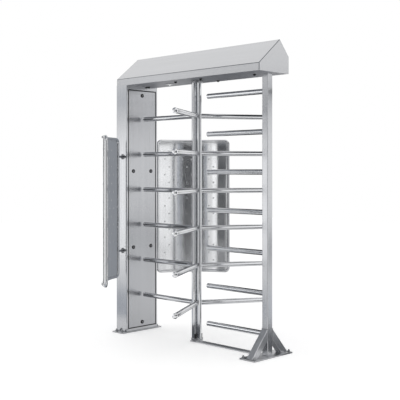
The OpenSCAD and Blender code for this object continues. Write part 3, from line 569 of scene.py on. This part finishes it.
# Standoffs: four turned bars with round flanges hold each guard's first upright off the
# column. The flanges are screwed to the casing with two socket screws each.
bracket_steel = satin_steel("bracket_steel", (0.30, 0.305, 0.32), (60, 60, 60), roughness=0.28)
bracket_edge_r = 0.0006
bracket_x, bracket_y, bracket_rows = -0.718, 0.179, (0.697, 1.494)
screw_lift = 0.0155
screw_outline = [(0, 0), (0.0042, 0), (0.0042, 0.0032), (0.0036, 0.004), (0.002, 0.004), (0.002, 0.0015),
                 (0, 0.0015)]
shape = cad_copy("guard_standoffs")
ease(shape, bracket_edge_r, segments=2, angle=60)
piece("guard_brackets", shape, bracket_steel, "frame", ["guard_standoffs"])
shape = bmesh.new()
for side in (-1, 1):
    outwards = Matrix.Rotation(-side * math.pi / 2, 4, "X")
    for height in bracket_rows:
        for z in (height - screw_lift, height + screw_lift):
            spot = Matrix.Translation((bracket_x, side * bracket_y, z))
            turned(shape, screw_outline, spot @ outwards, steps=16)
piece("bracket_screws", shape, black_oxide, "frame")

# Head: a cover of 2 mm stainless folded to a low front edge, a long slope, a ridge and a
# taller back, with flat gable ends welded in. Its grain runs along the head.
roof_grain = (1.6, 230, 230)
roof_steel = satin_steel("roof_satin", (0.57, 0.575, 0.59), roof_grain, streak=0.05)
cover_low, cover_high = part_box("roof_cover")
fascia_h, back_h, ridge_y = 0.057, 0.127, 0.065
cover_wall, cover_fold_r = 0.002, 0.004
gable_outline = [(cover_low.y, cover_low.z), (cover_low.y, cover_low.z + fascia_h),
                 (ridge_y, cover_high.z), (cover_high.y, cover_low.z + back_h),
                 (cover_high.y, cover_low.z)]
shape = bmesh.new()
gable = shape.faces.new([shape.verts.new((cover_low.x, y, z)) for y, z in gable_outline])
grown = bmesh.ops.extrude_face_region(shape, geom=[gable])
far = [part for part in grown["geom"] if isinstance(part, bmesh.types.BMVert)]
bmesh.ops.translate(shape, vec=(cover_high.x - cover_low.x, 0, 0), verts=far)
bmesh.ops.recalc_face_normals(shape, faces=shape.faces)
open_face = [f for f in shape.faces if f.normal.z < -0.9]
bmesh.ops.delete(shape, geom=open_face, context="FACES_ONLY")
ease(shape, cover_fold_r, segments=4, angle=15)
# The rounded gable edges get a much darker steel, and the rounded folds along the head a darker one.
# Both tones are painted shade along the welded gable seams and the folds.
painted_seam_shade = satin_steel("painted_seam_shade", (0.17, 0.176, 0.19), (60, 60, 60), roughness=0.42, streak=0.12)
painted_fold_shade = satin_steel("painted_fold_shade", (0.40, 0.406, 0.42), roof_grain, roughness=0.34)
shaded_seam_slot, shaded_fold_slot = 1, 2
seam_least, seam_most, fold_area = 0.04, 0.985, 0.02
for face in shape.faces:
    if seam_least < abs(face.normal.x) < seam_most:
        face.material_index = shaded_seam_slot
    elif face.smooth and face.calc_area() < fold_area:
        face.material_index = shaded_fold_slot
cover = piece("head_cover", shape, roof_steel, "frame", ["roof_cover"])
cover.data.materials.append(painted_seam_shade)
cover.data.materials.append(painted_fold_shade)
wall = cover.modifiers.new("wall", "SOLIDIFY")
wall.thickness = cover_wall
wall.offset = -1


# Soffit: a dark painted sheet that closes the head from below, held by black screws with
# wide heads, with one small round lamp over the passage.
def dress(node, finish):
    """Gives a node that keeps its own shape its finish."""
    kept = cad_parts[node]
    kept.data.materials.clear()
    kept.data.materials.append(finish)


soffit_paint, place, shader = new_finish("soffit_paint", Metallic=0.0)
speck = noise(place, 420.0)
cloud = noise(place, 3.0)
feed(shader, Base_Color=blend_colours(speck * 0.4 + cloud * 0.6, (0.21, 0.22, 0.25), (0.29, 0.3, 0.33)),
     Roughness=0.38 + cloud * 0.12, Normal=bumps(speck, 0.08, 0.0006))
dress("soffit_panel", soffit_paint)
dress("soffit_screws", black_oxide)
soffit_z = 2.1
screw_spots = [(-0.6486, 0.0616), (-0.1881, -0.0581), (0.1176, -0.078), (0.1217, 0.118), (0.6082, 0.0)]
cap_outline = [(0, -0.0125), (0.006, -0.0119), (0.01, -0.0095), (0.0122, -0.0056),
               (0.013, -0.001), (0.013, 0.0)]
shape = bmesh.new()
for x, y in screw_spots:
    turned(shape, cap_outline, Matrix.Translation((x, y, soffit_z)), steps=32)
piece("soffit_caps", shape, black_oxide, "frame")
lamp_rim = satin_steel("lamp_rim", (0.30, 0.306, 0.33), (8, 8, 8), roughness=0.3)
dress("downlight", lamp_rim)
lamp_glass, place, shader = new_finish("lamp_glass", Roughness=0.25, Emission_Strength=0.35)
glow = noise(place, 60.0, 1.0)
feed(shader, Base_Color=blend_colours(glow, (0.85, 0.86, 0.84), (0.93, 0.94, 0.92)),
     Emission_Color=blend_colours(glow, (0.85, 0.88, 0.9), (1.0, 1.0, 1.0)))
lens_outline = [(0, -0.0085), (0.006, -0.0078), (0.0105, -0.0055), (0.013, -0.002), (0.0135, 0.0)]
lamp_low, lamp_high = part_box("downlight")
lamp_spot = ((lamp_low.x + lamp_high.x) / 2, (lamp_low.y + lamp_high.y) / 2, lamp_low.z)
shape = bmesh.new()
turned(shape, lens_outline, Matrix.Translation(lamp_spot), steps=32)
piece("lamp_lens", shape, lamp_glass, "frame")

# Locks: six cam locks in the service panel, each a black round rim with a turning plug
# that has a key slot in its face.
dress("lock_housings", black_oxide)
key_steel = satin_steel("key_steel", (0.32, 0.325, 0.34), (20, 20, 20), roughness=0.35)
plug_front_x = -0.662
key_face = [(0, 0.0006), (0.005, 0.0006), (0.0056, 0.0003), (0.0056, 0)]
slot_size, slot_z = (0.0075, 0.0016, 0.0004), 0.00055
for lock in ("top", "upper_front", "upper_back", "lower_front", "lower_back", "bottom"):
    dress("lock_" + lock, black_oxide)
    low, high = footprint("lock_" + lock, lambda spot: spot.x > plug_front_x)
    centre = (high.x, (low.y + high.y) / 2, (low.z + high.z) / 2)
    out = Matrix.Translation(centre) @ Matrix.Rotation(math.pi / 2, 4, "Y")
    shape = bmesh.new()
    turned(shape, key_face, out, steps=24)
    # The key slot is a thin black box laid on the plug's face; its black is painted shade for the slot's
    # recess.
    grown = bmesh.ops.create_cube(shape, size=1.0)
    bmesh.ops.scale(shape, vec=slot_size, verts=grown["verts"])
    bmesh.ops.transform(shape, matrix=out @ Matrix.Translation((0, 0, slot_z)), verts=grown["verts"])
    for face in {face for vert in grown["verts"] for face in vert.link_faces}:
        face.material_index = 1
    key_plate = piece(f"lock_{lock}_key", shape, key_steel, "lock_" + lock)
    key_plate.data.materials.append(black_oxide)

# Drive gear over the soffit and the box in the column: zinc plated rails and plate, a
# machined housing, ground steel shafts, black coils and damper, a rubber belt.
ground_steel = satin_steel("ground_steel", (0.5, 0.5, 0.52), (4, 4, 300), roughness=0.22)
cast_housing = satin_steel("cast_housing", (0.44, 0.445, 0.46), (90, 90, 90), roughness=0.45,
                           streak=0.05)
box_paint, place, shader = new_finish("box_paint")
peel = noise(place, 260.0)
feed(shader, Base_Color=blend_colours(peel, (0.29, 0.30, 0.32), (0.35, 0.36, 0.38)),
     Roughness=0.4 + peel * 0.15, Normal=bumps(peel, 0.15, 0.0005))
for finish, nodes in (
        (zinc, ("head_rails", "head_cross_members", "drive_plate", "index_wheel",
                "pawl_right", "pawl_left")),
        (ground_steel, ("top_bearing", "floor_pivot", "rotor_shaft", "pawl_pins",
                        "plunger_right", "plunger_left")),
        (cast_housing, ("bearing_housing", "drive_pulley", "damper_pulley")),
        (black_oxide, ("solenoid_right", "solenoid_left", "damper_body")),
        (black_rubber, ("damper_belt",)),
        (box_paint, ("control_box",))):
    for node in nodes:
        dress(node, finish)

# Studio: a floor that shows white but keeps a soft shadow, white surroundings, wide soft
# lamps, and flags that only reflections see: they draw the grey bands in the steel.
floor_half = 14
floor_card_z = 0.003
card_tint = (0.95, 1, 1.08)
shape = bmesh.new()
bmesh.ops.create_grid(shape, x_segments=1, y_segments=1, size=floor_half)
mesh = bpy.data.meshes.new("floor")
shape.to_mesh(mesh)
shape.free()
floor = bpy.data.objects.new("floor", mesh)
scene.collection.objects.link(floor)


def empty_tree(owner):
    owner.use_nodes = True
    owner.node_tree.nodes.clear()
    return owner.node_tree


def finish_tree(tree, kind, wire):
    """Joins the last node to the output of a material or a world."""
    end = tree.nodes.new(kind)
    tree.links.new(wire.socket, end.inputs["Surface"])


def ray_kinds(tree):
    """The light path's socket for camera, glossy and transmission rays."""
    ray = Wire(tree).node("ShaderNodeLightPath")
    outputs = ray.socket.node.outputs
    return [Wire(tree, outputs[f"Is {kind} Ray"]) for kind in ("Camera", "Glossy", "Transmission")]


floor_finish = bpy.data.materials.new("floor_white")
tree = empty_tree(floor_finish)
seen, mirrored, through = ray_kinds(tree)
matt = seen.node("ShaderNodeBsdfDiffuse", None, {"Color": (0.82, 0.82, 0.82, 1)})
lift = seen.node("ShaderNodeEmission", None,
                 {"Color": (1, 1, 1, 1), "Strength": seen * 0.42 + (mirrored + through) * 0.28})
finish_tree(tree, "ShaderNodeOutputMaterial", seen.node("ShaderNodeAddShader", None, {0: matt, 1: lift}))
floor.data.materials.append(floor_finish)

studio = bpy.data.worlds.new("studio")
scene.world = studio
tree = empty_tree(studio)
seen, mirrored, through = ray_kinds(tree)
show = (seen + mirrored + through) > 0.5
sky = seen.node("ShaderNodeBackground", None, {"Color": (1, 1, 1, 1), "Strength": show * 0.2 + 0.8})
finish_tree(tree, "ShaderNodeOutputWorld", sky)


def flag(name, centre, facing, width, height, tone, heading=0.0, one_sided=False):
    """A flat card that only reflections see; a one sided one lets them through from behind."""
    shape = bmesh.new()
    bmesh.ops.create_grid(shape, x_segments=1, y_segments=1, size=0.5)
    bmesh.ops.scale(shape, vec=(width, height, 1), verts=shape.verts)
    place = aimed(centre, Vector(facing)) @ Matrix.Rotation(heading, 4, "Z")
    bmesh.ops.transform(shape, matrix=place, verts=shape.verts)
    mesh = bpy.data.meshes.new(name)
    shape.to_mesh(mesh)
    shape.free()
    card = bpy.data.objects.new(name, mesh)
    scene.collection.objects.link(card)
    cloth = bpy.data.materials.new(name)
    tree = empty_tree(cloth)
    glow = Wire(tree).node("ShaderNodeEmission", None, {"Color": (*(tone * c for c in card_tint), 1)})
    if one_sided:
        behind = glow.node("ShaderNodeNewGeometry", out="Backfacing")
        clear = glow.node("ShaderNodeBsdfTransparent")
        glow = glow.node("ShaderNodeMixShader", None, {0: behind, 1: glow, 2: clear})
    finish_tree(tree, "ShaderNodeOutputMaterial", glow)
    card.data.materials.append(cloth)
    card.visible_camera = card.visible_diffuse = False
    card.visible_shadow = card.visible_transmission = False


def around(degrees, distance, height):
    turn = math.radians(degrees)
    return Vector((distance * math.cos(turn), distance * math.sin(turn), height))


def upright(name, degrees, distance, low, high, width, tone):
    """An upright flag that faces the rotor from one side."""
    centre = around(degrees, distance, (low + high) / 2)
    flag(name, centre, Vector((-centre.x, -centre.y, 0)), width, high - low, tone)


def outlying(name, degrees, distance, width, length, tone):
    """A flag on the floor, its length along the line from the rotor."""
    flag(name, around(degrees, distance, floor_card_z), (0, 0, 1), width, length, tone,
         math.radians(degrees - 90))


def flat(name, x, y, width, length, tone):
    """A flag on the floor, square to the gate."""
    flag(name, (x, y, floor_card_z), (0, 0, 1), width, length, tone)


flag("flag_above", (-1.25, -2.3, 3.2), (0, 0, -1), 4.3, 3.9, 0.3)
flat("flag_floor_front", 0.04, -0.4, 1.24, 0.66, 0.12)
flat("flag_floor_side", 1.7, 0.5, 1.8, 0.8, 0.12)
flat("flag_floor_back", -1.5, 1.65, 2.3, 1.9, 0.12)
upright("flag_back_right", 127, 2.28, 0, 3.0, 0.7, 0.1)
upright("flag_camera", -40.2, 5.0, 0, 3.4, 2.75, 0.025)
outlying("flag_camera_floor", -39.5, 3.8, 2.0, 2.3, 0.06)
upright("flag_camera_edge", -22.5, 4.9, 0, 3.4, 0.36, 0.32)
upright("flag_camera_rim", -18.8, 4.9, 0, 3.4, 0.3, 0.6)
upright("flag_camera_side", -57.6, 4.9, 0, 3.4, 0.34, 0.42)
upright("flag_left_narrow", -80.8, 5.0, 0, 3.4, 1.27, 0.07)
outlying("flag_left_floor", -79.0, 3.8, 0.75, 2.3, 0.12)
upright("flag_high_left", 218, 5.0, 2.2, 2.48, 1.2, 0.6)
upright("flag_high_post", 237, 5.0, 1.95, 2.5, 1.4, 0.25)
upright("flag_mast_left", 202, 5.0, 0, 3.2, 0.9, 0.12)
upright("flag_high_right", 45, 5.0, 2.2, 2.45, 2.2, 0.3)
upright("flag_low_right", 46, 5.0, 0.22, 0.52, 1.6, 0.3)
outlying("flag_floor_right", 37.3, 2.89, 0.8, 1.6, 0.75)
flat("flag_floor_left", -1.5, -1.5, 2.6, 1.7, 0.55)
flag("flag_arms", (0.6, 0.5, 2.0), (0, 0, -1), 0.9, 0.7, 0.06, one_sided=True)
flag("flag_comb_back", (0.42, 0.07, 1.05), (0, -1, 0), 0.48, 1.9, 0.02, one_sided=True)
flag("flag_guard_left", (-1.3, -0.27, 1.05), (1, 0, 0), 0.15, 1.6, 0.12, one_sided=True)
flag("flag_guard_front", (-0.72, -0.2, 1.05), (0, -1, 0), 0.3, 1.4, 0.34, one_sided=True)


def softbox(name, place, aim, width, height, radiance):
    """A soft lamp whose face shows at the given brightness."""
    light = bpy.data.lights.new(name, "AREA")
    light.shape = "RECTANGLE"
    light.size = width
    light.size_y = height
    light.energy = radiance * math.pi * width * height
    lamp = bpy.data.objects.new(name, light)
    scene.collection.objects.link(lamp)
    lamp.location = place
    lamp.rotation_euler = (Vector(aim) - Vector(place)).to_track_quat("-Z", "Y").to_euler()


softbox("softbox_left", around(227, 5.5, 1.0), (0, 0, 1.0), 3.2, 1.8, 0.42)
softbox("softbox_right", around(43, 5.5, 1.45), (0.5, 0, 1.3), 1.8, 1.6, 0.12)
softbox("softbox_near_right", around(0.5, 5.0, 1.5), (0, 0, 1.2), 1.35, 3.4, 0.25)
softbox("softbox_near_left", around(-68.5, 5.0, 1.5), (0, 0, 1.2), 0.55, 3.4, 0.4)
